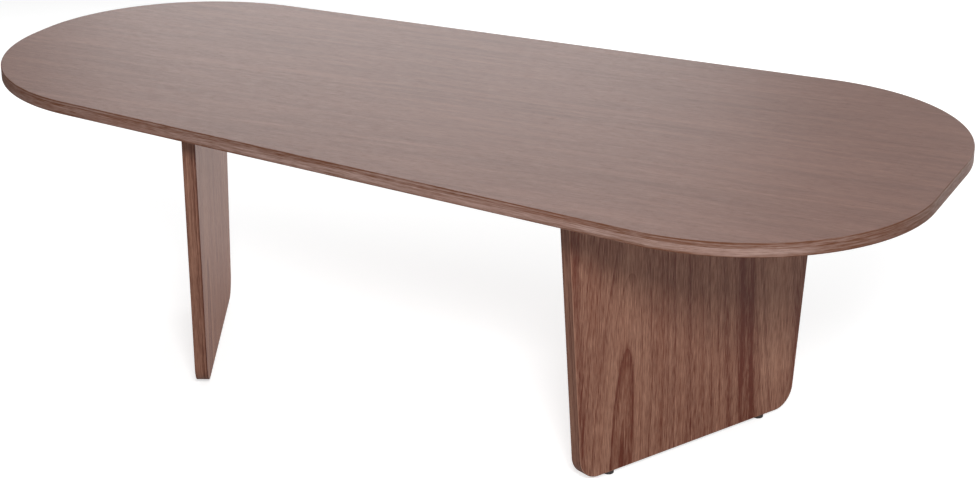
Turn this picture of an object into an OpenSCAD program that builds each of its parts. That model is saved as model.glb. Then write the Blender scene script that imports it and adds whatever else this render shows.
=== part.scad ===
// Walnut veneered coffee table: a wedge shaped slab top with four large round corners
// on two tapered panel legs that stand in a V in plan.
// Frame: origin on the floor under the middle of the top, +X to the wide end, +Z up,
// +Y to the straight back edge. Millimetres.

/* [Top] */
// Overall length of the top
top_len = 1400; // [1250:10:1600]
// Width of the top at its wide end
wide_end_w = 670; // [640:5:760]
// Width of the top at its narrow end
narrow_end_w = 560; // [540:5:620]
// Plan radius of the two corners at the wide end
wide_corner_r = 260; // [180:5:300]
// Plan radius of the two corners at the narrow end
narrow_corner_r = 268; // [180:2:300]
// Finished thickness of the top
top_t = 18; // [17:0.5:25]
// Height of the top face above the floor
table_h = 420; // [350:5:500]

/* [Veneers] */
// Thickness of each face veneer, on the top and on the legs
veneer_t = 0.6; // [0.5:0.1:1]
// Thickness of the edge bands, on the top and on the legs
band_t = 1; // [0.6:0.1:2]

/* [Legs] */
// Finished thickness of a leg panel
leg_t = 18; // [16:0.5:25]
// Width at the foot of the wide leg, which stands under the wide end of the top
wide_foot_w = 382; // [360:2:400]
// Width at the foot of the narrow leg, which stands under the narrow end of the top
narrow_foot_w = 346; // [335:2:380]
// How much wider a leg is at its top than at its foot, on each side
leg_flare = 32; // [10:2:40]
// Radius of a leg's two bottom corners
leg_corner_r = 32; // [15:1:40]
// Distance of each leg's middle from the middle of the table, along the length
leg_x = 375; // [340:5:390]
// Sideways place of the middle of the wide leg, + to the back edge
wide_leg_y = -25; // [-35:1:10]
// Sideways place of the middle of the narrow leg, + to the back edge
narrow_leg_y = -10; // [-15:1:20]
// Turn of each leg in plan: their back ends stand further apart than their front ends
leg_turn = 26; // [15:1:30]

/* [Mounting plates] */
// Length of a mounting plate, along the leg
plate_len = 320; // [300:5:330]
// Width of a mounting plate, across the leg
plate_w = 70; // [66:1:90]
// Thickness of a mounting plate
plate_t = 4; // [3:0.5:5]
// Corner radius of a mounting plate
plate_corner_r = 8; // [4:1:10]
// Gap round a mounting plate in its recess in the top
recess_gap = 0.4; // [0.2:0.1:1]

/* [Leg screws] */
// Number of screws that hold a plate on a leg's top edge
leg_screw_count = 5; // [3:1:6]
// Distance of the end screws from the plate's ends
leg_screw_end = 28; // [16:1:40]
// Diameter of their shank
leg_screw_d = 5; // [4:0.5:6]
// Diameter of their countersunk head
leg_screw_head_d = 10; // [8.5:0.5:11]
// Overall length of such a screw
leg_screw_len = 60; // [40:5:80]

/* [Plate bolts] */
// Number of bolts along each side of a plate
bolt_count = 3; // [2:1:4]
// Distance of the end bolts from the plate's ends
bolt_end = 30; // [16:1:40]
// Distance of each row of bolts from the plate's centre line
bolt_offset = 24; // [19:0.5:26]
// Diameter of the bolts
bolt_d = 6; // [5:0.5:7]
// Diameter of the button heads
bolt_head_d = 10.5; // [9:0.5:11]
// Height of the button heads
bolt_head_h = 3.3; // [2.5:0.1:3.5]
// Length of a bolt under its head
bolt_len = 13; // [10:0.5:16]
// Width across the flats of the hexagon sockets
socket_w = 4; // [3:0.5:4]
// Outer diameter of the threaded inserts in the top
insert_d = 10; // [9:0.5:12]
// Length of a threaded insert
insert_len = 10; // [8:0.5:12]

/* [Glides] */
// Diameter of the glides under the legs
glide_d = 15; // [14:0.5:16]
// Height of a glide, from the floor to the leg
glide_h = 6; // [5:0.5:8]
// Bevel round a glide's bottom edge
glide_bevel = 1; // [0.5:0.1:1.5]
// Distance of a glide's middle from the end of the leg's foot
glide_inset = 54; // [50:1:70]
// Diameter of a glide screw's shank
glide_screw_d = 3.5; // [3:0.5:4]
// Diameter of a glide screw's head
glide_screw_head_d = 7; // [6:0.5:8]
// Overall length of a glide screw
glide_screw_len = 20; // [16:1:30]
// How far a glide screw's head sits above the floor
glide_screw_recess = 1.5; // [1:0.1:2]

/* [Fits] */
// Gap round a shank or an insert in its hole, on the radius
shank_gap = 0.1; // [0.05:0.05:0.3]

/* [Hidden] */
$fn = 96;

// colours
walnut = "#7d5c49";
walnut_edge = "#86634f";
walnut_leg = "#6b4636";
fibreboard = "#b59a77";
zinc = "#b9bcc0";
brass = "#c8a75a";
black_plastic = "#2a2826";

// the two legs, by the side of the table that they stand on
WIDE = 1;
NARROW = -1;
// the two ends of a leg
FRONT = -1;
BACK = 1;
// the two faces of a leg
OUTER = 1;
INNER = -1;

// heights
underside_z = table_h - top_t;
leg_h = underside_z - glide_h;
plate_top_z = underside_z + plate_t;

// how far a cut runs past the face that it opens
cut = 1;

// plan of the top: the back edge is straight and runs along X, and each end keeps at least
// this much straight edge on each side of its middle
end_straight = 1;
back_y = wide_end_w / 2;
wide_r = min(wide_corner_r, wide_end_w / 2 - end_straight);
narrow_r = min(narrow_corner_r, narrow_end_w / 2 - end_straight);
wide_x = top_len / 2 - wide_r;
narrow_x = -top_len / 2 + narrow_r;
wide_back_y = back_y - wide_r;
wide_front_y = back_y - wide_end_w + wide_r;
narrow_back_y = back_y - narrow_r;
narrow_front_y = back_y - narrow_end_w + narrow_r;

// direction of the outward normal of the front edge, which touches both front corners, and
// how far its ends lie inside them, so that it meets their circles at a clean angle
front_run = norm([wide_x - narrow_x, wide_front_y - narrow_front_y]);
front_heading = atan2(wide_front_y - narrow_front_y, wide_x - narrow_x);
front_normal = front_heading - acos((narrow_r - wide_r) / front_run);
front_tuck = 0.01;

// a leg's side leans out by this angle
lean = atan(leg_flare / leg_h);

// an insert's hole also takes the tip of its bolt
insert_hole_depth = max(insert_len, bolt_len - plate_t) + shank_gap;

// screws and bolts: depth of the drive recess as a share of the head's height, width of
// the recess, width of a screw's point and of a button head's crown as shares of a diameter
drive_depth = 0.7;
drive_w = 0.5;
point_w = 0.2;
crown_w = 0.7;

function foot_w(side) = side == WIDE ? wide_foot_w : narrow_foot_w;
function leg_y(side) = side == WIDE ? wide_leg_y : narrow_leg_y;
function row(count, span) = [for (i = [0 : count - 1]) (i / (count - 1) - 0.5) * span];
function on_circle(x, y, r, a) = [x + r * cos(a), y + r * sin(a)];
function head_h(d, head_d) = (head_d - d) / 2;

// outline of the top, drawn smaller all round by inset
module top_outline(inset = 0) {
    wr = wide_r - inset;
    nr = narrow_r - inset;
    polygon([
        on_circle(narrow_x, narrow_front_y, nr - front_tuck, front_normal),
        on_circle(wide_x, wide_front_y, wr - front_tuck, front_normal),
        on_circle(wide_x, wide_front_y, wr, 0),
        on_circle(wide_x, wide_back_y, wr, 0),
        on_circle(wide_x, wide_back_y, wr, 90),
        on_circle(narrow_x, narrow_back_y, nr, 90),
        on_circle(narrow_x, narrow_back_y, nr, 180),
        on_circle(narrow_x, narrow_front_y, nr, 180)
    ]);
    translate([wide_x, wide_back_y]) circle(wr);
    translate([wide_x, wide_front_y]) circle(wr);
    translate([narrow_x, narrow_back_y]) circle(nr);
    translate([narrow_x, narrow_front_y]) circle(nr);
}

// outline of a leg, foot on the X axis, drawn smaller by inset at the sides and the foot
module leg_outline(foot, inset = 0) {
    r = leg_corner_r;
    centre = foot / 2 + r * tan(lean) - r / cos(lean);
    touch = on_circle(centre, r, r - inset, -lean);
    top = touch[0] + (leg_h - touch[1]) * tan(lean);
    polygon([
        [centre, inset], touch, [top, leg_h],
        [-top, leg_h], [-touch[0], touch[1]], [-centre, inset]
    ]);
    for (s = [-1, 1]) translate([s * centre, r]) circle(r - inset);
}

// outline of a mounting plate, or of its recess, which is larger by the gap
module plate_outline(gap = 0) {
    w = plate_w / 2 + gap;
    l = plate_len / 2 + gap;
    r = plate_corner_r + gap;
    square([2 * w, 2 * (l - r)], center = true);
    square([2 * (w - r), 2 * l], center = true);
    for (sx = [-1, 1], sy = [-1, 1]) translate([sx * (w - r), sy * (l - r)]) circle(r);
}

// puts children in a leg's own frame, at a height above the floor: Y runs along the panel
// to the back and X out of the face that looks to the wide end
module at_leg(side, z) {
    translate([side * leg_x, leg_y(side), z]) rotate([0, 0, -side * leg_turn]) children();
}

// puts children at every bolt of a plate
module at_bolts(side, z) {
    at_leg(side, z) for (sx = [-1, 1], y = row(bolt_count, plate_len - 2 * bolt_end))
        translate([sx * bolt_offset, y, 0]) children();
}

// puts children at every leg screw of a plate, turned so that +Z runs down into the leg
module at_leg_screws(side) {
    at_leg(side, plate_top_z) for (y = row(leg_screw_count, plate_len - 2 * leg_screw_end))
        translate([0, y, 0]) mirror([0, 0, 1]) children();
}

// puts children on the floor under one end of a leg, where its glide stands
module at_glide(side, end) {
    at_leg(side, 0) translate([0, end * (foot_w(side) / 2 - glide_inset), 0]) children();
}

// a slice of a leg panel between two distances from its middle plane
module leg_slice(side, from, to, inset) {
    at_leg(side, glide_h) translate([from, 0, 0]) rotate([90, 0, 90])
        linear_extrude(to - from) leg_outline(foot_w(side), inset);
}

// a countersunk screw along +Z, with the face of its head at z = 0
module countersunk_screw(d, head_d, len) {
    h = head_h(d, head_d);
    difference() {
        union() {
            cylinder(d1 = head_d, d2 = d, h = h);
            cylinder(d = d, h = len - d);
            translate([0, 0, len - d]) cylinder(d1 = d, d2 = d * point_w, h = d);
        }
        translate([0, 0, -cut]) cylinder(d = d * drive_w, h = cut + h * drive_depth, $fn = 6);
    }
}

// the hole for such a screw, open to a distance before its head
module countersunk_hole(d, head_d, len, open) {
    translate([0, 0, -open]) cylinder(d = head_d, h = open);
    cylinder(d1 = head_d, d2 = d, h = head_h(d, head_d));
    cylinder(d = d + 2 * shank_gap, h = len + shank_gap);
}

// a button head bolt along +Z, with the seat of its head at z = 0
module button_bolt() {
    difference() {
        union() {
            cylinder(d = bolt_d, h = bolt_len);
            translate([0, 0, -bolt_head_h])
                cylinder(d1 = bolt_head_d * crown_w, d2 = bolt_head_d, h = bolt_head_h);
        }
        translate([0, 0, -bolt_head_h - cut])
            cylinder(d = socket_w / cos(30), h = cut + bolt_head_h * drive_depth, $fn = 6);
    }
}

// space for both mounting plates, flush in the underside of the top
module plate_recesses() {
    for (side = [WIDE, NARROW]) at_leg(side, underside_z - cut)
        linear_extrude(plate_t + cut) plate_outline(recess_gap);
}

// holes for the threaded inserts of both plates
module insert_holes() {
    for (side = [WIDE, NARROW]) at_bolts(side, plate_top_z - cut)
        cylinder(d = insert_d + 2 * shank_gap, h = insert_hole_depth + cut);
}

// holes through a plate and down into its leg for the leg screws
module leg_screw_holes(side) {
    at_leg_screws(side) countersunk_hole(leg_screw_d, leg_screw_head_d, leg_screw_len, cut);
}

// holes up through the glides and into a leg's foot for the glide screws
module glide_screw_holes(side) {
    for (end = [FRONT, BACK]) at_glide(side, end) translate([0, 0, glide_screw_recess])
        countersunk_hole(glide_screw_d, glide_screw_head_d, glide_screw_len, glide_screw_recess + cut);
}

module top_core() {
    color(fibreboard) difference() {
        translate([0, 0, underside_z + veneer_t])
            linear_extrude(top_t - 2 * veneer_t) top_outline(band_t);
        plate_recesses();
        insert_holes();
    }
}

module top_veneer() {
    color(walnut) translate([0, 0, table_h - veneer_t])
        linear_extrude(veneer_t) top_outline(band_t);
}

module underside_veneer() {
    color(walnut) difference() {
        translate([0, 0, underside_z]) linear_extrude(veneer_t) top_outline(band_t);
        plate_recesses();
    }
}

module top_edge_band() {
    color(walnut_edge) translate([0, 0, underside_z]) linear_extrude(top_t) difference() {
        top_outline();
        top_outline(band_t);
    }
}

module leg_core(side) {
    half = leg_t / 2 - veneer_t;
    color(fibreboard) difference() {
        leg_slice(side, -half, half, band_t);
        leg_screw_holes(side);
        glide_screw_holes(side);
    }
}

// face veneer of a leg: the outer face looks away from the middle of the table
module leg_veneer(side, face) {
    glue = leg_t / 2 - veneer_t;
    skin = leg_t / 2;
    color(walnut_leg)
        if (face == side) leg_slice(side, glue, skin, band_t);
        else leg_slice(side, -skin, -glue, band_t);
}

// band round a leg's sides and foot; its top edge butts against the underside bare
module leg_edge_band(side) {
    color(walnut_edge) difference() {
        leg_slice(side, -leg_t / 2, leg_t / 2, 0);
        leg_slice(side, -leg_t / 2 - cut, leg_t / 2 + cut, band_t);
        glide_screw_holes(side);
    }
}

module leg_plate(side) {
    color(zinc) difference() {
        at_leg(side, underside_z) linear_extrude(plate_t) plate_outline();
        at_bolts(side, underside_z - cut) cylinder(d = bolt_d + 2 * shank_gap, h = plate_t + 2 * cut);
        leg_screw_holes(side);
    }
}

module leg_screws(side) {
    color(zinc) at_leg_screws(side)
        countersunk_screw(leg_screw_d, leg_screw_head_d, leg_screw_len);
}

module leg_bolts(side) {
    color(zinc) at_bolts(side, underside_z) button_bolt();
}

module leg_inserts(side) {
    color(brass) at_bolts(side, plate_top_z) difference() {
        cylinder(d = insert_d, h = insert_len);
        translate([0, 0, -cut]) cylinder(d = bolt_d + 2 * shank_gap, h = insert_len + 2 * cut);
    }
}

module glide(side, end) {
    color(black_plastic) difference() {
        at_glide(side, end) {
            cylinder(d1 = glide_d - 2 * glide_bevel, d2 = glide_d, h = glide_bevel);
            translate([0, 0, glide_bevel]) cylinder(d = glide_d, h = glide_h - glide_bevel);
        }
        glide_screw_holes(side);
    }
}

module glide_screws() {
    color(zinc) for (side = [WIDE, NARROW], end = [FRONT, BACK])
        at_glide(side, end) translate([0, 0, glide_screw_recess])
            countersunk_screw(glide_screw_d, glide_screw_head_d, glide_screw_len);
}

top_core();
top_veneer();
underside_veneer();
top_edge_band();
leg_core(WIDE);  // wide_leg_core
leg_veneer(WIDE, OUTER);  // wide_leg_outer_veneer
leg_veneer(WIDE, INNER);  // wide_leg_inner_veneer
leg_edge_band(WIDE);  // wide_leg_edge_band
leg_plate(WIDE);  // wide_leg_plate
leg_screws(WIDE);  // wide_leg_screws
leg_bolts(WIDE);  // wide_leg_bolts
leg_inserts(WIDE);  // wide_leg_inserts
glide(WIDE, FRONT);  // wide_leg_front_glide
glide(WIDE, BACK);  // wide_leg_back_glide
leg_core(NARROW);  // narrow_leg_core
leg_veneer(NARROW, OUTER);  // narrow_leg_outer_veneer
leg_veneer(NARROW, INNER);  // narrow_leg_inner_veneer
leg_edge_band(NARROW);  // narrow_leg_edge_band
leg_plate(NARROW);  // narrow_leg_plate
leg_screws(NARROW);  // narrow_leg_screws
leg_bolts(NARROW);  // narrow_leg_bolts
leg_inserts(NARROW);  // narrow_leg_inserts
glide(NARROW, FRONT);  // narrow_leg_front_glide
glide(NARROW, BACK);  // narrow_leg_back_glide
glide_screws();
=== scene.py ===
"""Walnut veneered coffee table on a white floor.

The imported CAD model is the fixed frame, and every face that shows gets its finish here. The
top's face veneer, the leg veneers, the three edge bands and the glides are modelled again inside
the same outlines, with the eased rims, sanded arrises and mould lines of the real ones. Cores,
underside veneer, plates, screws, bolts and inserts are the CAD's own. Lengths are in metres.
"""
import math
from collections import namedtuple

import bmesh
import bpy
import numpy as np
from mathutils import Matrix, Vector


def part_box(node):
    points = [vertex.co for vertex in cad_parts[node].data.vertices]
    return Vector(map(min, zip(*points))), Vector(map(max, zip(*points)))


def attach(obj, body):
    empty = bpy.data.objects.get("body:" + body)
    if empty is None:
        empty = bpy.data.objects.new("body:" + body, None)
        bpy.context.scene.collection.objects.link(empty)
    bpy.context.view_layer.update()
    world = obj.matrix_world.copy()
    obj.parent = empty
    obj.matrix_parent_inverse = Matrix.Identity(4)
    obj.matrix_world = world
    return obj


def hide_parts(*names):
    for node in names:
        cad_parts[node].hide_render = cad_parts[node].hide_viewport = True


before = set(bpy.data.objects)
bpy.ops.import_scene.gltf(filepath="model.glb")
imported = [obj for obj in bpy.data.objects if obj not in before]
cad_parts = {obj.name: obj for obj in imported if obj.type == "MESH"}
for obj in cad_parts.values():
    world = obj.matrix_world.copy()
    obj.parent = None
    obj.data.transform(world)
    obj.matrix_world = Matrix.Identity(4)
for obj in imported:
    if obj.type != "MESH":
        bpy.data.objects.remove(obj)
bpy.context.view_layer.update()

# Camera
# It stands at the front right, a little above the table, and looks down on the top along
# the photograph's view. The small shift is the photograph's own off-centre framing.
CAMERA_AT = (1.3207, -2.6437, 1.3736)
AZIMUTH, ELEVATION, ROLL = (math.radians(angle) for angle in (26.401, 21.757, -0.11))
SENSOR_MM, FOCAL_MM = 36.0, 84.4
SHIFT_X, SHIFT_Y = 0.0405, 0.0194

lens = bpy.data.cameras.new("camera")
lens.sensor_width, lens.lens = SENSOR_MM, FOCAL_MM
lens.shift_x, lens.shift_y = SHIFT_X, SHIFT_Y
camera = bpy.data.objects.new("camera", lens)
camera.matrix_world = (
    Matrix.Translation(CAMERA_AT)
    @ Matrix.Rotation(AZIMUTH, 4, "Z")
    @ Matrix.Rotation(math.pi / 2 - ELEVATION, 4, "X")
    @ Matrix.Rotation(ROLL, 4, "Z")
)
bpy.context.scene.collection.objects.link(camera)
bpy.context.scene.camera = camera
bpy.context.scene.view_settings.view_transform = "Standard"


# Room
# A white studio with four soft lamps. The floor runs out to a white surround and glows a
# little, so that it looks white and keeps a faint shadow. The lacquer mirrors that glow from
# the open floor only: close to the table it is left out as painted shade of the table on the
# floor, and it is also left out on the table's left.
FLOOR_HALF = 30.0
WHITE = (1.0, 1.0, 1.0, 1.0)
AMBIENT = 0.33
FLOOR_GLOW = 0.6
FLOOR_GREY = (0.68, 0.68, 0.68, 1.0)
# The mirrored glow sets in between two multiples of half the table's length and width, and on
# its left between two places along x.
TABLE_HALF = (0.7, 0.335)
OPEN_FROM, OPEN_TO = 0.6, 1.38
LEFT_DULL, LEFT_CLEAR = -1.6, -0.7


def new_node(tree, kind, **settings):
    """Adds a node and sets the properties named in settings."""
    node = tree.nodes.new(kind)
    for name, value in settings.items():
        setattr(node, name, value)
    return node


def feed(tree, socket, value):
    """Links value to the socket if it is a socket itself, or else sets it as the default."""
    if isinstance(value, bpy.types.NodeSocket):
        tree.links.new(value, socket)
    else:
        socket.default_value = value


def math_node(tree, operation, *values, clamp=False):
    """Output of a Math node with the given inputs."""
    node = new_node(tree, "ShaderNodeMath", operation=operation, use_clamp=clamp)
    for socket, value in zip(node.inputs, values):
        feed(tree, socket, value)
    return node.outputs[0]


def fade(tree, value, low, high, to_low=0.0, to_high=1.0):
    """Smooth step from to_low, where value is at low, to to_high, where it is at high."""
    node = new_node(tree, "ShaderNodeMapRange", interpolation_type="SMOOTHSTEP")
    for socket, number in zip(node.inputs, (value, low, high, to_low, to_high)):
        feed(tree, socket, number)
    return node.outputs[0]


def seen_directly(tree):
    """1 for camera, glossy and transmitted rays, which see the plain white surround."""
    path = new_node(tree, "ShaderNodeLightPath")
    seen = math_node(tree, "MAXIMUM", path.outputs["Is Camera Ray"], path.outputs["Is Glossy Ray"])
    return math_node(tree, "MAXIMUM", seen, path.outputs["Is Transmission Ray"])


world = bpy.data.worlds.new("white_surround")
bpy.context.scene.world = world
world.use_nodes = True
tree = world.node_tree
tree.nodes.clear()
surround, fill = (new_node(tree, "ShaderNodeBackground") for _ in range(2))
for background, strength in ((surround, 1.0), (fill, AMBIENT)):
    background.inputs["Color"].default_value = WHITE
    background.inputs["Strength"].default_value = strength
choice = new_node(tree, "ShaderNodeMixShader")
feed(tree, choice.inputs[0], seen_directly(tree))
feed(tree, choice.inputs[1], fill.outputs[0])
feed(tree, choice.inputs[2], surround.outputs[0])
feed(tree, new_node(tree, "ShaderNodeOutputWorld").inputs["Surface"], choice.outputs[0])

floor_mesh = bpy.data.meshes.new("floor")
floor_mesh.from_pydata(
    [(x * FLOOR_HALF, y * FLOOR_HALF, 0.0) for x, y in ((-1, -1), (1, -1), (1, 1), (-1, 1))],
    [], [(0, 1, 2, 3)],
)
floor = bpy.data.objects.new("floor", floor_mesh)
bpy.context.scene.collection.objects.link(floor)
floor_paint = bpy.data.materials.new("white_floor")
floor_paint.use_nodes = True
tree = floor_paint.node_tree
tree.nodes.clear()
matt = new_node(tree, "ShaderNodeBsdfDiffuse")
matt.inputs["Color"].default_value = FLOOR_GREY
glow = new_node(tree, "ShaderNodeEmission")
floor_point = new_node(tree, "ShaderNodeTexCoord").outputs["Object"]
in_halves = new_node(tree, "ShaderNodeVectorMath", operation="MULTIPLY")
feed(tree, in_halves.inputs[0], floor_point)
in_halves.inputs[1].default_value = (1 / TABLE_HALF[0], 1 / TABLE_HALF[1], 0.0)
reach = new_node(tree, "ShaderNodeVectorMath", operation="LENGTH")
feed(tree, reach.inputs[0], in_halves.outputs[0])
floor_axes = new_node(tree, "ShaderNodeSeparateXYZ")
feed(tree, floor_axes.inputs[0], floor_point)
# Painted shade in reflections: the lacquer sees the floor's glow dimmed close to the table, as the
# table's shadow would dim it, and dimmed on the table's left.
open_floor = math_node(tree, "MULTIPLY", fade(tree, reach.outputs["Value"], OPEN_FROM, OPEN_TO),
                       fade(tree, floor_axes.outputs["X"], LEFT_DULL, LEFT_CLEAR))
camera_ray = new_node(tree, "ShaderNodeLightPath").outputs["Is Camera Ray"]
glare = math_node(tree, "MULTIPLY", seen_directly(tree),
                  math_node(tree, "MAXIMUM", camera_ray, open_floor))
feed(tree, glow.inputs["Strength"], math_node(tree, "MULTIPLY", glare, FLOOR_GLOW))
both = new_node(tree, "ShaderNodeAddShader")
feed(tree, both.inputs[0], matt.outputs[0])
feed(tree, both.inputs[1], glow.outputs[0])
feed(tree, new_node(tree, "ShaderNodeOutputMaterial").inputs["Surface"], both.outputs[0])
floor_mesh.materials.append(floor_paint)


# Name, place, point that it shines at, width and height, and power in watts.
SOFT_LAMPS = (
    ("key_softbox", (1.6, -2.8, 2.2), (0.2, 0.0, 0.3), (0.8, 0.6), 102.0),
    ("low_softbox", (0.9, -3.3, 0.7), (0.1, 0.0, 0.25), (2.0, 0.9), 5.0),
    ("back_softbox", (-0.88, 1.6, 0.93), (-0.15, 0.1, 0.42), (1.5, 0.45), 9.5),
    ("right_softbox", (0.9, 3.1, 0.35), (-0.25, 0.0, 0.2), (1.6, 0.6), 52.0),
)
for name, place, aim, size, power in SOFT_LAMPS:
    lamp = bpy.data.lights.new(name, "AREA")
    lamp.shape = "RECTANGLE"
    (lamp.size, lamp.size_y), lamp.energy = size, power
    holder = bpy.data.objects.new(name, lamp)
    turned = (Vector(place) - Vector(aim)).to_track_quat("Z", "Y").to_matrix().to_4x4()
    holder.matrix_world = Matrix.Translation(place) @ turned
    bpy.context.scene.collection.objects.link(holder)


# Top face veneer
# A sheet of sliced walnut, 0.6 mm thick, pressed on the board with its grain along the
# table and finished with satin lacquer. Its rim meets the edge band in a fine glue line.
band_low, band_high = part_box("top_edge_band")
TOP_Z = band_high.z
UNDERSIDE_Z = band_low.z
WIDE_END_X = band_high.x
NARROW_END_X = band_low.x
BACK_Y = band_high.y
FRONT_Y = band_low.y
WIDE_RADIUS = 0.260
NARROW_RADIUS = 0.268
NARROW_END_WIDTH = 0.560
VENEER = 0.0006
BAND = 0.001
GLUE_LINE = 0.00012
ARC_STEPS = 48
EDGE_STEPS = 16
SHARP_FROM = math.radians(40)

wide_back = (WIDE_END_X - WIDE_RADIUS, BACK_Y - WIDE_RADIUS)
wide_front = (WIDE_END_X - WIDE_RADIUS, FRONT_Y + WIDE_RADIUS)
narrow_back = (NARROW_END_X + NARROW_RADIUS, BACK_Y - NARROW_RADIUS)
narrow_front = (NARROW_END_X + NARROW_RADIUS, BACK_Y - NARROW_END_WIDTH + NARROW_RADIUS)
front_run = np.subtract(wide_front, narrow_front)
front_normal = math.atan2(front_run[1], front_run[0]) - math.acos(
    (NARROW_RADIUS - WIDE_RADIUS) / np.hypot(*front_run)
)
band_joint = ((wide_back[0] + narrow_back[0]) / 2, BACK_Y)
TOP_CORNERS = (
    (narrow_back, NARROW_RADIUS, math.pi / 2, math.pi),
    (narrow_front, NARROW_RADIUS, math.pi, front_normal + 2 * math.pi),
    (wide_front, WIDE_RADIUS, front_normal, 0.0),
    (wide_back, WIDE_RADIUS, 0.0, math.pi / 2),
)


def rounded_path(corners, first, last, inset):
    """Points from first to last along straight lines and round corners.

    A corner is (centre, radius, angle where it starts, angle where it ends). Its points lie at
    centre + (radius - inset) (cos, sin) of evenly spaced angles, and each straight stretch
    between two corners is divided evenly.
    """
    stops = [np.atleast_2d(first)]
    for centre, radius, start, end in corners:
        angle = np.linspace(start, end, ARC_STEPS + 1)
        around = np.stack([np.cos(angle), np.sin(angle)], axis=1)
        stops.append(np.asarray(centre) + (radius - inset) * around)
    stops.append(np.atleast_2d(last))
    share = np.linspace(0.0, 1.0, EDGE_STEPS + 1)[1:-1, None]
    path = [stops[0]]
    for before, after in zip(stops, stops[1:]):
        path.append(before[-1] + share * (after[0] - before[-1]))
        path.append(after)
    return np.concatenate(path)


def top_loop(inset):
    """Closed outline of the top, inset from its rim; it starts behind, at the band's joint."""
    start = (band_joint[0], band_joint[1] - inset)
    return rounded_path(TOP_CORNERS, start, start, inset)[:-1]


def along(path):
    """Length from the path's first point to each of its points."""
    return np.concatenate([[0.0], np.cumsum(np.linalg.norm(np.diff(path, axis=0), axis=1))])


def build(name, points, grain, loop_path=False, loop_profile=False, smooth=True):
    """Closed mesh from a grid, where points[i, j] is step i along a path and j of a profile.

    Quads join neighbouring points. Where the path is open each end gets a flat face, and where
    the profile is open each of its rims does. grain[i, j] holds the place on the sheet of wood
    (along the grain, across it, sheet number) and has one more row or column where the grid
    closes on itself, so that the figure may break at a joint as real edging does.
    """
    rows, columns = points.shape[:2]
    i, j = np.meshgrid(
        np.arange(rows if loop_path else rows - 1),
        np.arange(columns if loop_profile else columns - 1),
        indexing="ij",
    )
    at_i = np.stack([i, i + 1, i + 1, i], axis=-1).reshape(-1, 4)
    at_j = np.stack([j, j, j + 1, j + 1], axis=-1).reshape(-1, 4)
    caps = []
    if not loop_path:
        column = np.arange(columns)
        caps += [(np.zeros_like(column), column), (np.full_like(column, rows - 1), column[::-1])]
    if not loop_profile:
        row = np.arange(rows)
        caps += [(row[::-1], np.zeros_like(row)), (row, np.full_like(row, columns - 1))]
    faces = ((at_i % rows) * columns + at_j % columns).tolist()
    faces += [(a * columns + b).tolist() for a, b in caps]
    corner_i = np.concatenate([at_i.ravel()] + [a for a, _ in caps])
    corner_j = np.concatenate([at_j.ravel()] + [b for _, b in caps])
    mesh = bpy.data.meshes.new(name)
    mesh.from_pydata(points.reshape(-1, 3).tolist(), [], faces)
    sheet = mesh.attributes.new("grain", "FLOAT_VECTOR", "CORNER")
    sheet.data.foreach_set("vector", grain[corner_i, corner_j].astype(np.float32).ravel())
    shell = bmesh.new()
    shell.from_mesh(mesh)
    if shell.calc_volume(signed=True) < 0:
        bmesh.ops.reverse_faces(shell, faces=shell.faces)
    shell.to_mesh(mesh)
    shell.free()
    if smooth:
        mesh.shade_smooth()
        mesh.set_sharp_from_angle(angle=SHARP_FROM)
    piece = bpy.data.objects.new(name, mesh)
    bpy.context.scene.collection.objects.link(piece)
    return piece


def stand_for(piece, node, material):
    """The piece shows instead of a CAD node, moves with the table and takes its finish."""
    piece.data.materials.append(material)
    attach(piece, "root")
    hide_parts(node)


Mottle = namedtuple("Mottle", "scale detail roughness swing", defaults=(3.0, 0.55, 1.0))


def noise(tree, vector, mottle):
    """Noise, about 0 to 1, of a vector that is first stretched by the mottle's scale."""
    stretch = new_node(tree, "ShaderNodeVectorMath", operation="MULTIPLY")
    feed(tree, stretch.inputs[0], vector)
    stretch.inputs[1].default_value = mottle.scale
    texture = new_node(tree, "ShaderNodeTexNoise")
    feed(tree, texture.inputs["Vector"], stretch.outputs[0])
    texture.inputs["Scale"].default_value = 1.0
    texture.inputs["Detail"].default_value = mottle.detail
    texture.inputs["Roughness"].default_value = mottle.roughness
    return texture.outputs["Fac"]


def centred(tree, value, strength):
    """(value - 0.5) times strength."""
    return math_node(tree, "MULTIPLY", math_node(tree, "SUBTRACT", value, 0.5), strength)


def mix_colors(tree, factor, first, second, mode="MIX"):
    """Output of a Mix node set to colours, whose sockets are inputs 6 and 7 and output 2."""
    node = new_node(tree, "ShaderNodeMix", data_type="RGBA", blend_type=mode)
    feed(tree, node.inputs[0], factor)
    feed(tree, node.inputs[6], first)
    feed(tree, node.inputs[7], second)
    return node.outputs[2]


def hump(tree, value, middle, width):
    """Bell curve exp(-((value - middle) / width)^2)."""
    offset = math_node(tree, "DIVIDE", math_node(tree, "SUBTRACT", value, middle), width)
    square = math_node(tree, "MULTIPLY", offset, offset)
    return math_node(tree, "EXPONENT", math_node(tree, "MULTIPLY", square, -1.0))


# A scale holds the repeats in each metre along the grain, in each metre across it and from
# one sheet to the next. The swing stretches a noise about its middle.
DRIFT = Mottle((2.5, 9.0, 5.3), detail=2.0, swing=2.0)
RIPPLE = Mottle((14.0, 60.0, 7.1), detail=2.0, swing=0.3)
CLOUD = Mottle((3.0, 9.0, 11.0), detail=2.0, swing=2.0)
FIGURE = Mottle((7.0, 80.0, 3.0), swing=2.4)
FIBRE = Mottle((9.0, 410.0, 5.0), roughness=0.6, swing=2.6)
FLECK = Mottle((48.0, 760.0, 9.0), detail=2.0, roughness=0.6, swing=3.0)
PORE = Mottle((90.0, 2100.0, 13.0), detail=1.0)
BLUSH = Mottle((6.0, 45.0, 15.0))
RING_SPACING = Mottle(16.0, detail=1.0, roughness=0.5, swing=40.0)
RING_TINT = Mottle(0.9, roughness=0.6, swing=2.6)
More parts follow.
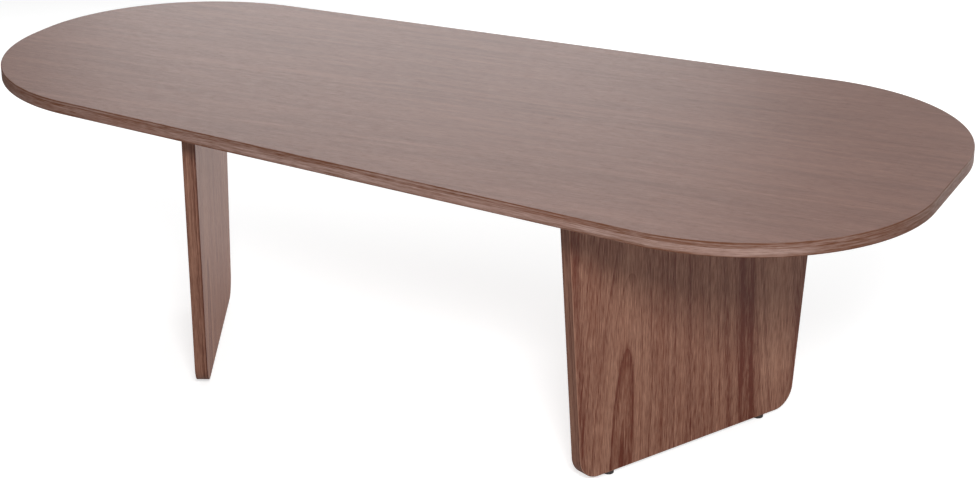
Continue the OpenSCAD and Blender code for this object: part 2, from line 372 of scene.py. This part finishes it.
# Lengths are in metres, and the arch's places and widths in radii of the first arch. The
# fades of pores and blush are levels of their noise.
HEART_ROUNDING = 0.01
LATE_WOOD_POWER = 4.0
SMALLEST_ARCH = 0.001
ARCH_RIM_FROM, ARCH_RIM_TO = 0.9, 1.0
ARCH_MIDDLE, ARCH_MIDDLE_SHADE = 0.3, 0.35
HALO_PLACE, HALO_WIDTH = 1.6, 0.5
PORE_FROM, PORE_TO = 0.58, 0.70
BLUSH_FROM, BLUSH_TO = 0.42, 0.72
FLECK_RELIEF, FIBRE_RELIEF, PORE_RELIEF = 0.5, 0.4, 0.8
PORE_DULLNESS, FLECK_SHEEN = 0.12, -0.2


def walnut_group():
    """Node group of sliced walnut.

    The log's growth rings are cones round its heart, and the sheet is a flat slice of them:
    ring = sqrt(across^2 + depth^2) / ring width, where across is measured from the heart and
    depth is how far the slice runs from it. Depth grows with the taper along the grain, so the
    rings are arches near the heart and long lines beside it. Each ring darkens towards its late
    wood, which ends sharply. Inside the first arch the wood is darker, and round it paler. Zones
    tint whole rings, a streak darkens one line, and clouds, figure, fibres, flecks and pores are
    noise drawn out along the grain. Tone and all of these are added to 0.5, the middle between
    the dark colour and the pale one. The blush reddens patches, and the pores darken the sum.
    """
    group = bpy.data.node_groups.new("sliced_walnut", "ShaderNodeTree")
    inputs = (
        ("Grain", "Vector", (0.0, 0.0, 0.0)), ("Tone", "Float", 0.0), ("Heart", "Float", 0.0),
        ("Lean", "Float", 0.0), ("Fan", "Float", 0.0), ("Depth", "Float", 0.1),
        ("Taper", "Float", 0.1), ("Ring width", "Float", 0.02), ("Wander", "Float", 0.03),
        ("Late wood", "Float", 0.3), ("Arch", "Float", 0.02), ("Arch shade", "Float", 0.0),
        ("Arch halo", "Float", 0.0), ("Zones", "Float", 0.4), ("Streak", "Float", 0.0),
        ("Streak place", "Float", 0.0), ("Streak width", "Float", 0.005),
        ("Clouds", "Float", 0.3), ("Figure", "Float", 0.3), ("Fibres", "Float", 0.5),
        ("Flecks", "Float", 0.5), ("Pores", "Float", 0.3), ("Blush", "Float", 0.5),
        ("Pale", "Color", WHITE), ("Dark", "Color", WHITE), ("Red", "Color", WHITE),
    )
    for name, kind, value in inputs:
        socket = group.interface.new_socket(name, in_out="INPUT", socket_type="NodeSocket" + kind)
        socket.default_value = value
    for name, kind in (("Color", "Color"), ("Height", "Float"), ("Dullness", "Float")):
        group.interface.new_socket(name, in_out="OUTPUT", socket_type="NodeSocket" + kind)
    given = new_node(group, "NodeGroupInput").outputs
    result = new_node(group, "NodeGroupOutput").inputs
    grain = given["Grain"]

    def calc(operation, *values, clamp=False):
        return math_node(group, operation, *values, clamp=clamp)

    def mottled(mottle):
        """Noise over the sheet."""
        return noise(group, grain, mottle)

    def swung(mottle):
        """Noise over the sheet, stretched about its middle."""
        return centred(group, mottled(mottle), mottle.swing)

    def swung_by_ring(mottle, value):
        """Noise of one value, the same all along a ring, stretched about its middle."""
        texture = new_node(group, "ShaderNodeTexNoise", noise_dimensions="1D")
        feed(group, texture.inputs["W"], value)
        texture.inputs["Scale"].default_value = mottle.scale
        texture.inputs["Detail"].default_value = mottle.detail
        texture.inputs["Roughness"].default_value = mottle.roughness
        return centred(group, texture.outputs["Fac"], mottle.swing)

    place = new_node(group, "ShaderNodeSeparateXYZ")
    feed(group, place.inputs[0], grain)
    x, y = place.outputs["X"], place.outputs["Y"]

    drift = calc("MULTIPLY", swung(DRIFT), given["Wander"])
    ripple = calc("MULTIPLY", swung(RIPPLE), given["Wander"])
    from_heart = calc("SUBTRACT", y, calc("MULTIPLY_ADD", x, given["Lean"], given["Heart"]))
    fanned = calc("MULTIPLY", from_heart, calc("MULTIPLY_ADD", x, given["Fan"], 1.0))
    across = calc("ADD", fanned, drift)
    depth = calc("SMOOTH_MAX", calc("MULTIPLY_ADD", x, given["Taper"], given["Depth"]), 0.0,
                 HEART_ROUNDING)
    radius = calc("SQRT", calc("ADD", calc("POWER", across, 2.0), calc("POWER", depth, 2.0)))
    radius = calc("ADD", radius, ripple)
    even_ring = calc("DIVIDE", calc("SUBTRACT", radius, given["Arch"]), given["Ring width"])
    unevenness = calc("MULTIPLY", swung_by_ring(RING_SPACING, radius), radius)
    ring = calc("ADD", even_ring, unevenness)
    late = calc("POWER", calc("FRACT", ring), LATE_WOOD_POWER)
    in_arches = calc("DIVIDE", radius, calc("MAXIMUM", given["Arch"], SMALLEST_ARCH))
    inside = calc("MULTIPLY", fade(group, in_arches, ARCH_RIM_FROM, ARCH_RIM_TO, 1.0, 0.0),
                  fade(group, in_arches, ARCH_MIDDLE, ARCH_RIM_FROM, ARCH_MIDDLE_SHADE, 1.0))
    halo = hump(group, radius, calc("MULTIPLY", given["Arch"], HALO_PLACE),
                calc("MULTIPLY", given["Arch"], HALO_WIDTH))
    streak = hump(group, across, given["Streak place"], given["Streak width"])
    fibre, fleck = mottled(FIBRE), mottled(FLECK)
    pore = fade(group, mottled(PORE), PORE_FROM, PORE_TO)

    tone = calc("ADD", given["Tone"], 0.5)
    for strength, value in (
        (given["Zones"], swung_by_ring(RING_TINT, ring)),
        (given["Clouds"], swung(CLOUD)),
        (given["Figure"], swung(FIGURE)),
        (given["Fibres"], centred(group, fibre, FIBRE.swing)),
        (given["Flecks"], centred(group, fleck, FLECK.swing)),
        (given["Arch halo"], halo),
        (given["Arch shade"], calc("MULTIPLY", inside, -1.0)),
        (given["Late wood"], calc("MULTIPLY", late, -1.0)),
        (given["Streak"], calc("MULTIPLY", streak, -1.0)),
    ):
        tone = calc("MULTIPLY_ADD", value, strength, tone)
    tone = calc("MULTIPLY", tone, 1.0, clamp=True)
    wood = mix_colors(group, tone, given["Dark"], given["Pale"])
    blush = fade(group, mottled(BLUSH), BLUSH_FROM, BLUSH_TO)
    wood = mix_colors(group, calc("MULTIPLY", blush, given["Blush"]), wood, given["Red"])
    shade = calc("SUBTRACT", 1.0, calc("MULTIPLY", pore, given["Pores"]))
    grey = new_node(group, "ShaderNodeCombineColor")
    for socket in grey.inputs:
        feed(group, socket, shade)
    feed(group, result["Color"], mix_colors(group, 1.0, wood, grey.outputs[0], "MULTIPLY"))
    relief = calc("MULTIPLY_ADD", fleck, FLECK_RELIEF, calc("MULTIPLY", fibre, FIBRE_RELIEF))
    feed(group, result["Height"], calc("SUBTRACT", relief, calc("MULTIPLY", pore, PORE_RELIEF)))
    sheen = centred(group, fleck, FLECK_SHEEN)
    feed(group, result["Dullness"], calc("MULTIPLY_ADD", pore, PORE_DULLNESS, sheen))
    return group


WALNUT = walnut_group()
# A line along the sheet: a line of the wood's grain, or painted light or shade along an arris or
# over part of a face.
GrainAndLightLine = namedtuple("GrainAndLightLine", "place width tone lean span", defaults=(0.0, None))
SWAY = Mottle((5.0, 20.0, 3.0), detail=2.0, swing=0.003)
BREAKS = Mottle((9.0, 1.0, 8.0), detail=2.0)
BREAK_FULL, BREAK_GONE, BROKEN_TONE = 0.3, 0.55, 0.45
GRAIN_RELIEF = 0.00006


def veneer_material(name, figure, roughness, gloss, on_object=False, lines=()):
    """Walnut with the sheen of its lacquer, or of bare wood.

    figure holds values for the walnut group's inputs. The place on the sheet comes from the
    mesh's grain attribute, or on a CAD node from its Object coordinates. Each of the lines is a
    line of the grain or of painted light or shade, with its place across the sheet, darker where
    its tone is below 0. It moves across by its lean for each metre along the sheet. A span holds
    the lengths along the sheet where it begins to show, is full, begins to fade and is gone.
    """
    material = bpy.data.materials.new(name)
    material.use_nodes = True
    tree = material.node_tree
    shader = tree.nodes["Principled BSDF"]
    if on_object:
        sheet = new_node(tree, "ShaderNodeTexCoord").outputs["Object"]
    else:
        sheet = new_node(tree, "ShaderNodeAttribute", attribute_name="grain").outputs["Vector"]
    wood = new_node(tree, "ShaderNodeGroup", node_tree=WALNUT)
    feed(tree, wood.inputs["Grain"], sheet)
    for socket, value in figure.items():
        wood.inputs[socket].default_value = value
    if lines:
        place = new_node(tree, "ShaderNodeSeparateXYZ")
        feed(tree, place.inputs[0], sheet)
        run = place.outputs["X"]
        sway = centred(tree, noise(tree, sheet, SWAY), SWAY.swing)
        across = math_node(tree, "ADD", place.outputs["Y"], sway)
        broken = fade(tree, noise(tree, sheet, BREAKS), BREAK_FULL, BREAK_GONE, BROKEN_TONE, 1.0)
        tone = 0.0
        for line in lines:
            shifted = math_node(tree, "MULTIPLY_ADD", run, -line.lean, across)
            bell = hump(tree, shifted, line.place, line.width)
            shade = math_node(tree, "MULTIPLY", bell, line.tone)
            if line.span:
                begins, full, fades, gone = line.span
                shade = math_node(tree, "MULTIPLY", shade, fade(tree, run, begins, full))
                shade = math_node(tree, "MULTIPLY", shade, fade(tree, run, fades, gone, 1.0, 0.0))
            tone = math_node(tree, "ADD", tone, shade)
        feed(tree, wood.inputs["Tone"],
             math_node(tree, "MULTIPLY_ADD", tone, broken, figure.get("Tone", 0.0)))
    feed(tree, shader.inputs["Base Color"], wood.outputs["Color"])
    feed(tree, shader.inputs["Roughness"],
         math_node(tree, "ADD", wood.outputs["Dullness"], roughness, clamp=True))
    bump = new_node(tree, "ShaderNodeBump")
    bump.inputs["Distance"].default_value = GRAIN_RELIEF
    feed(tree, bump.inputs["Height"], wood.outputs["Height"])
    feed(tree, shader.inputs["Normal"], bump.outputs["Normal"])
    shader.inputs["Specular IOR Level"].default_value = gloss
    return material


TOP_FIGURE = {
    "Heart": 0.42, "Lean": 0.02, "Fan": 0.05, "Depth": 0.12, "Taper": 0.03, "Ring width": 0.024,
    "Wander": 0.02, "Late wood": 0.10, "Zones": 0.15, "Clouds": 0.26, "Figure": 0.28,
    "Fibres": 0.16, "Flecks": 0.24, "Pores": 0.25, "Blush": 0.10,
    "Pale": (0.250, 0.125, 0.093, 1.0), "Dark": (0.106, 0.041, 0.026, 1.0),
    "Red": (0.165, 0.064, 0.040, 1.0),
}
top_walnut = veneer_material("top_walnut", TOP_FIGURE, roughness=0.5, gloss=0.3)


def top_rims(layers):
    """The top's outline at each (inset, height) of the layers, as points[step, layer]."""
    plan = np.stack([top_loop(inset) for inset, _ in layers], axis=1)
    heights = np.broadcast_to([z for _, z in layers], plan.shape[:2])
    return np.dstack([plan, heights])


def closed(rows):
    """The rows with the first one again at the end, where a path meets itself."""
    return np.concatenate([rows, rows[:1]])


face_points = top_rims((
    (BAND, TOP_Z - VENEER), (BAND, TOP_Z - GLUE_LINE), (BAND + GLUE_LINE, TOP_Z),
))
face_sheet = closed(face_points * (1.0, 1.0, 0.0))
top_face = build("top_face", face_points, face_sheet, loop_path=True, smooth=False)
stand_for(top_face, "top_veneer", top_walnut)


# Top edge band
# A 1 mm strip of walnut, glued round the rim with its grain along the strip. Both arrises
# are sanded round, and its two ends meet in a butt joint in the middle of the back edge.
ARRIS = 0.0008
SOFT_ARRIS = 0.0016
ARRIS_STEPS = 6
HOLD = 0.0004


def banded_profile(low, high, low_rise=ARRIS):
    """Closed section of an edge band as (inset from the rim, height from low to high).

    It runs up the outside, with a quarter round of the arris radius at the top and a quarter
    of an ellipse, low_rise high, at the bottom: inset = ARRIS (1 - cos t), rise = low_rise
    (1 - sin t). A point at HOLD from each of them keeps the shading of the flat between them
    even. The two inner corners are eased for the glue lines.
    """
    turn = np.linspace(0.0, math.pi / 2, ARRIS_STEPS + 1)
    out, up = ARRIS * (1 - np.cos(turn)), ARRIS * (1 - np.sin(turn))
    lower = np.column_stack([out[::-1], low + up[::-1] * low_rise / ARRIS])
    upper = np.column_stack([out, high - up])
    straight = [(0.0, low + low_rise + HOLD), (0.0, high - ARRIS - HOLD)]
    inner = [(BAND - GLUE_LINE, high), (BAND, high - GLUE_LINE),
             (BAND, low + GLUE_LINE), (BAND - GLUE_LINE, low)]
    return np.concatenate([lower, straight, upper, inner])


def strip_sheet(run, section, number=0.0):
    """Sheet of an edge band: the length along its run, the length round its closed section."""
    around = along(closed(section))
    sheet = np.full((len(run), len(around), 3), number)
    sheet[..., 0] = along(run)[:, None]
    sheet[..., 1] = around[None, :]
    return sheet


top_section = banded_profile(UNDERSIDE_Z, TOP_Z, SOFT_ARRIS)
top_band = build("top_band", top_rims(top_section),
                 strip_sheet(closed(top_loop(0.0)), top_section),
                 loop_path=True, loop_profile=True)
# The band's pale colour is greyish: the wood's own pale tone mixed with the grey of the painted
# highlight drawn by the pale line below.
BAND_FIGURE = {
    "Tone": -0.18, "Heart": 0.30, "Depth": 0.02, "Taper": 0.0, "Ring width": 0.0042,
    "Wander": 0.0008, "Late wood": 0.15, "Zones": 0.2, "Clouds": 0.2, "Figure": 0.2,
    "Fibres": 0.42, "Flecks": 0.42, "Pores": 0.3, "Blush": 0.3,
    "Pale": (0.335, 0.228, 0.198, 1.0), "Dark": (0.101, 0.034, 0.014, 1.0),
    "Red": (0.165, 0.062, 0.036, 1.0),
}
PAINTED_HIGHLIGHT_SPAN = (0.6, 2.2, 2.32, 2.42)
LEFT_END_SPAN = (0.5, 0.9, 1.10, 1.40)
RIGHT_END_SHADE_SPAN = (2.36, 2.46, 2.70, 2.90)
# The lines, as in the code: a dark line just below the top arris, a faint pale line and a second
# dark line under it; a pale line along the lower middle, which is a painted highlight, strongest
# along the front towards the wide end; painted shade along the lower arris; a darker zone over the
# narrow end; and painted shade over the lower part round the wide end.
BAND_LINES = (
    GrainAndLightLine(0.0178, 0.0008, -0.4), GrainAndLightLine(0.0159, 0.0008, 0.08),
    GrainAndLightLine(0.0141, 0.0006, -0.2), GrainAndLightLine(0.0067, 0.0044, 0.47, span=PAINTED_HIGHLIGHT_SPAN),
    GrainAndLightLine(0.0008, 0.0010, -0.2), GrainAndLightLine(0.0090, 0.0300, -0.26, span=LEFT_END_SPAN),
    GrainAndLightLine(0.0020, 0.0120, -0.16, span=RIGHT_END_SHADE_SPAN),
)
band_walnut = veneer_material(
    "band_walnut", BAND_FIGURE, roughness=0.6, gloss=0.2, lines=BAND_LINES)
stand_for(top_band, "top_edge_band", band_walnut)


# Underside of the top and the board inside
# A balancing sheet of plain walnut without lacquer covers the underside, cut out round the
# two steel plates. The core between the sheets is fibreboard, and so are the legs' cores.
UNDERSIDE_FIGURE = {**TOP_FIGURE, "Heart": -0.2, "Pores": 0.35}
SPECK_DETAIL, SPECK_ROUGHNESS = 4.0, 0.65
PATCH_SIZE, PATCH_DETAIL = 12.0, 2.0
DULLNESS_SWING = 0.25


def finish_node(node, material):
    """Gives a CAD node that stays in view its material."""
    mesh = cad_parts[node].data
    mesh.materials.clear()
    mesh.materials.append(material)


finish_node("underside_veneer", veneer_material(
    "underside_walnut", UNDERSIDE_FIGURE, roughness=0.68, gloss=0.36, on_object=True))


def speckled_material(name, dark, pale, scale, roughness, metallic=0.0, relief=0.00004):
    """Even material with fine specks between two tones, as pressed, plated or moulded stuff.

    The tone is half the noise of the specks and half that of patches, PATCH_SIZE times larger.
    """
    material = bpy.data.materials.new(name)
    material.use_nodes = True
    tree = material.node_tree
    shader = tree.nodes["Principled BSDF"]
    here = new_node(tree, "ShaderNodeTexCoord").outputs["Object"]
    speck = noise(tree, here, Mottle((scale,) * 3, SPECK_DETAIL, SPECK_ROUGHNESS))
    patch = noise(tree, here, Mottle((scale / PATCH_SIZE,) * 3, PATCH_DETAIL))
    mixed = math_node(tree, "MULTIPLY_ADD", patch, 0.5, math_node(tree, "MULTIPLY", speck, 0.5))
    feed(tree, shader.inputs["Base Color"], mix_colors(tree, mixed, dark, pale))
    feed(tree, shader.inputs["Roughness"],
         math_node(tree, "ADD", centred(tree, mixed, DULLNESS_SWING), roughness, clamp=True))
    bump = new_node(tree, "ShaderNodeBump")
    bump.inputs["Distance"].default_value = relief
    feed(tree, bump.inputs["Height"], speck)
    feed(tree, shader.inputs["Normal"], bump.outputs["Normal"])
    shader.inputs["Metallic"].default_value = metallic
    return material


fibreboard = speckled_material(
    "fibreboard", dark=(0.36, 0.25, 0.155, 1.0), pale=(0.58, 0.44, 0.30, 1.0),
    scale=900.0, roughness=0.85)
for node in ("top_core", "wide_leg_core", "narrow_leg_core"):
    finish_node(node, fibreboard)


# Legs
# Two panels of the same veneered board, wider at the top than at the foot, with round
# bottom corners. Face veneers run upright, and a band covers the sides and the foot.
LEG_X = 0.375
LEG_TURN = math.radians(26)
LEG_THICKNESS = 0.018
LEG_FLARE = 0.032
LEG_CORNER = 0.032
foot_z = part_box("wide_leg_edge_band")[0].z
lean_angle = math.atan(LEG_FLARE / (UNDERSIDE_Z - foot_z))
SIDE_LEAN = -LEG_FLARE / (UNDERSIDE_Z - foot_z)
SMALL_ARCH_SPAN = (-0.2, -0.1, 0.025, 0.062)
# A leaf of veneer is (sheet number, -1 where its figure is turned over, like a book's page).
LEGS = {
    "wide": {
        "side": 1, "middle_y": -0.025, "foot": 0.382,
        "leaves": {"outer": (1, 1), "inner": (2, -1)}, "band_sheet": 4,
        "figure": {},
        "face_lines": (
            # The first and fifth lines are darker strips along the two sides, leaning with them.
            # The second is a paler zone of the veneer, made paler still by painted light where the
            # top's shadow falls on the leg's right part. The third and fourth are the streak's
            # dark lines and the last is the small arch's dark line, all of the grain.
            GrainAndLightLine(-0.1850, 0.0050, -0.28, SIDE_LEAN), GrainAndLightLine(0.155, 0.030, 0.34),
            GrainAndLightLine(0.0950, 0.0042, -0.5, -0.04), GrainAndLightLine(0.1135, 0.0036, -0.6, -0.04),
            GrainAndLightLine(0.1850, 0.0065, -0.22, -SIDE_LEAN),
            GrainAndLightLine(-0.1215, 0.0065, -0.45, 0.0, SMALL_ARCH_SPAN),
        ),
        "band_lines": (
            # The first line is a painted highlight along the arris beside the outer face; the
            # others are streaks of the grain.
            GrainAndLightLine(0.0183, 0.0009, 0.7), GrainAndLightLine(0.0162, 0.0008, -0.2),
            GrainAndLightLine(0.0108, 0.0012, -0.25), GrainAndLightLine(0.0070, 0.0020, 0.1),
        ),
    },
    "narrow": {
        "side": -1, "middle_y": -0.010, "foot": 0.346,
        "leaves": {"outer": (3, -1), "inner": (4, 1)}, "band_sheet": 2,
        "figure": {"Streak": 0.1, "Late wood": 0.12, "Fibres": 0.2, "Flecks": 0.32},
        "face_lines": (),
        "band_lines": (
            # The first line is painted shade along the arris beside the inner face; the others are
            # streaks of the grain.
            GrainAndLightLine(0.0178, 0.0012, -0.6), GrainAndLightLine(0.0135, 0.0010, -0.3),
            GrainAndLightLine(0.0060, 0.0030, 0.2),
        ),
    },
}


def leg_loop(foot):
    """Function of an inset that gives a panel's outline as (across the table, height).

    It runs down the back side, round the foot and up the front side. The sides lean out by
    the flare, and the bottom corners are arcs that touch side and foot.
    """
    centre_y = foot / 2 + LEG_CORNER * math.tan(lean_angle) - LEG_CORNER / math.cos(lean_angle)
    centre_z = foot_z + LEG_CORNER
    corners = (
        ((centre_y, centre_z), LEG_CORNER, -lean_angle, -math.pi / 2),
        ((-centre_y, centre_z), LEG_CORNER, -math.pi / 2, -math.pi + lean_angle),
    )

    def outline(inset):
        radius = LEG_CORNER - inset
        touch_y = centre_y + radius * math.cos(lean_angle)
        touch_z = centre_z - radius * math.sin(lean_angle)
        top_y = touch_y + (UNDERSIDE_Z - touch_z) * math.tan(lean_angle)
        return rounded_path(corners, (top_y, UNDERSIDE_Z), (-top_y, UNDERSIDE_Z), inset)
    return outline


def on_leg(leg, thickness, outline):
    """Points of a panel in the table's frame.

    thickness is the distance from the panel's middle plane towards the wide end, and outline
    holds (along the panel, height). The panel is turned about the upright axis through its
    middle, by the same angle to either side.
    """
    turn = -leg["side"] * LEG_TURN
    y, z = outline[..., 0], outline[..., 1]
    return np.stack([
        leg["side"] * LEG_X + thickness * math.cos(turn) - y * math.sin(turn),
        leg["middle_y"] + thickness * math.sin(turn) + y * math.cos(turn),
        z,
    ], axis=-1)


def leg_face(name, leg, facing, number, turned_over):
    """Face veneer: the sheet from the board to the surface, with an eased rim.

    Its place on the sheet is (height, along the panel times turned_over, sheet number).
    """
    outline = leg_loop(leg["foot"])
    glue, surface = LEG_THICKNESS / 2 - VENEER, LEG_THICKNESS / 2
    layers = ((BAND, glue), (BAND, surface - GLUE_LINE), (BAND + GLUE_LINE, surface))
    points = np.stack([on_leg(leg, facing * t, outline(inset)) for inset, t in layers], axis=1)
    flat = np.stack([outline(inset) for inset, _ in layers], axis=1)
    numbers = np.full(flat.shape[:2], float(number))
    sheet = np.dstack([flat[..., 1], turned_over * flat[..., 0], numbers])
    return build(name, points, closed(sheet), loop_path=True, smooth=False)


def leg_band(name, leg):
    """Band round the sides and the foot: the top band's section carried along the outline."""
    outline = leg_loop(leg["foot"])
    section = banded_profile(-LEG_THICKNESS / 2, LEG_THICKNESS / 2)
    points = np.stack([on_leg(leg, t, outline(inset)) for inset, t in section], axis=1)
    sheet = strip_sheet(outline(0.0), section, float(leg["band_sheet"]))
    return build(name, points, sheet, loop_profile=True)


LEG_FIGURE = {
    "Heart": -0.1245, "Lean": 0.04, "Fan": 0.7, "Depth": -0.0096, "Taper": 0.164,
    "Ring width": 0.0175, "Wander": 0.004, "Late wood": 0.3, "Arch": 0.0212,
    "Arch shade": 0.19, "Arch halo": 0.16, "Zones": 0.18,
    "Streak": 0.27, "Streak place": 0.236, "Streak width": 0.018,
    "Clouds": 0.15, "Figure": 0.2, "Fibres": 0.38, "Flecks": 0.62, "Pores": 0.3, "Blush": 0.2,
    "Pale": (0.332, 0.172, 0.114, 1.0), "Dark": (0.088, 0.014, 0.004, 1.0),
    "Red": (0.185, 0.062, 0.032, 1.0),
}
LEG_BAND_FIGURE = {
    **BAND_FIGURE, "Tone": 0.0,
    "Pale": (0.254, 0.126, 0.084, 1.0), "Dark": (0.062, 0.014, 0.006, 1.0),
}
for key, leg in LEGS.items():
    leg_walnut = veneer_material(
        f"{key}_leg_walnut", {**LEG_FIGURE, **leg["figure"]},
        roughness=0.55, gloss=0.3, lines=leg["face_lines"])
    leg_band_walnut = veneer_material(
        f"{key}_leg_band_walnut", LEG_BAND_FIGURE,
        roughness=0.6, gloss=0.27, lines=leg["band_lines"])
    for face, facing in (("outer", leg["side"]), ("inner", -leg["side"])):
        piece = leg_face(f"{key}_leg_{face}_face", leg, facing, *leg["leaves"][face])
        stand_for(piece, f"{key}_leg_{face}_veneer", leg_walnut)
    band = leg_band(f"{key}_leg_band", leg)
    stand_for(band, f"{key}_leg_edge_band", leg_band_walnut)


# Mounting plates and their hardware
# A zinc plated steel plate lies flush in the underside over each leg. Long screws hold it on
# the leg's top edge, and button head bolts hold it up to brass inserts in the board.
METAL_RELIEF = 0.00001
zinc = speckled_material(
    "zinc_plate", dark=(0.47, 0.48, 0.49, 1.0), pale=(0.66, 0.67, 0.68, 1.0),
    scale=160.0, roughness=0.36, metallic=1.0, relief=METAL_RELIEF)
brass = speckled_material(
    "turned_brass", dark=(0.60, 0.44, 0.19, 1.0), pale=(0.76, 0.59, 0.30, 1.0),
    scale=220.0, roughness=0.34, metallic=1.0, relief=METAL_RELIEF)
for key in LEGS:
    finish_node(f"{key}_leg_plate", zinc)
    finish_node(f"{key}_leg_screws", zinc)
    finish_node(f"{key}_leg_bolts", zinc)
    finish_node(f"{key}_leg_inserts", brass)


# Glides
# Short discs of black moulded plastic that keep the wood off the floor, each held by one
# countersunk screw whose head sits above the floor.
GLIDE_STEPS = 64
GLIDE_EDGE = 0.0012
LIP = 0.0003
SHANK_HOLE = 0.00185
HEAD_HOLE = 0.0035
HEAD_DEPTH = 0.0015
PARTING_Z = 0.0036


def glide_profile(radius, height):
    """Closed section of a glide as (radius, height above the floor).

    It goes down the screw's hole and its countersink, out along the sole, round the sole's edge
    (a quarter round), up the wall past the mould's fine parting groove, and back over the top.
    """
    turn = np.linspace(0.0, math.pi / 2, ARRIS_STEPS + 1)
    sole_edge = np.column_stack([
        radius - GLIDE_EDGE * (1 - np.sin(turn)), GLIDE_EDGE * (1 - np.cos(turn))])
    hole = [(SHANK_HOLE, height), (SHANK_HOLE, HEAD_DEPTH + HEAD_HOLE - SHANK_HOLE),
            (HEAD_HOLE, HEAD_DEPTH), (HEAD_HOLE, LIP), (HEAD_HOLE + LIP, 0.0)]
    groove = [(radius, PARTING_Z - LIP), (radius - LIP / 2, PARTING_Z), (radius, PARTING_Z + LIP)]
    shoulder = [(radius, height - LIP), (radius - LIP, height)]
    return np.concatenate([hole, sole_edge, groove, shoulder])


def moulded_glide(name, node):
    """The section turned round the upright axis through the middle of the CAD glide."""
    low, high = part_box(node)
    section = glide_profile((high.x - low.x) / 2, high.z - low.z)
    turn = np.linspace(0.0, 2 * math.pi, GLIDE_STEPS, endpoint=False)[:, None]
    points = np.stack([
        (low.x + high.x) / 2 + section[:, 0] * np.cos(turn),
        (low.y + high.y) / 2 + section[:, 0] * np.sin(turn),
        np.broadcast_to(low.z + section[:, 1], (GLIDE_STEPS, len(section))),
    ], axis=-1)
    return build(name, points, np.zeros((GLIDE_STEPS + 1, len(section) + 1, 3)),
                 loop_path=True, loop_profile=True)


black_plastic = speckled_material(
    "black_plastic", dark=(0.016, 0.013, 0.012, 1.0), pale=(0.034, 0.028, 0.025, 1.0),
    scale=2500.0, roughness=0.6)
for key in LEGS:
    for end in ("front", "back"):
        node = f"{key}_leg_{end}_glide"
        disc = moulded_glide(f"{key}_{end}_glide_disc", node)
        stand_for(disc, node, black_plastic)
finish_node("glide_screws", zinc)
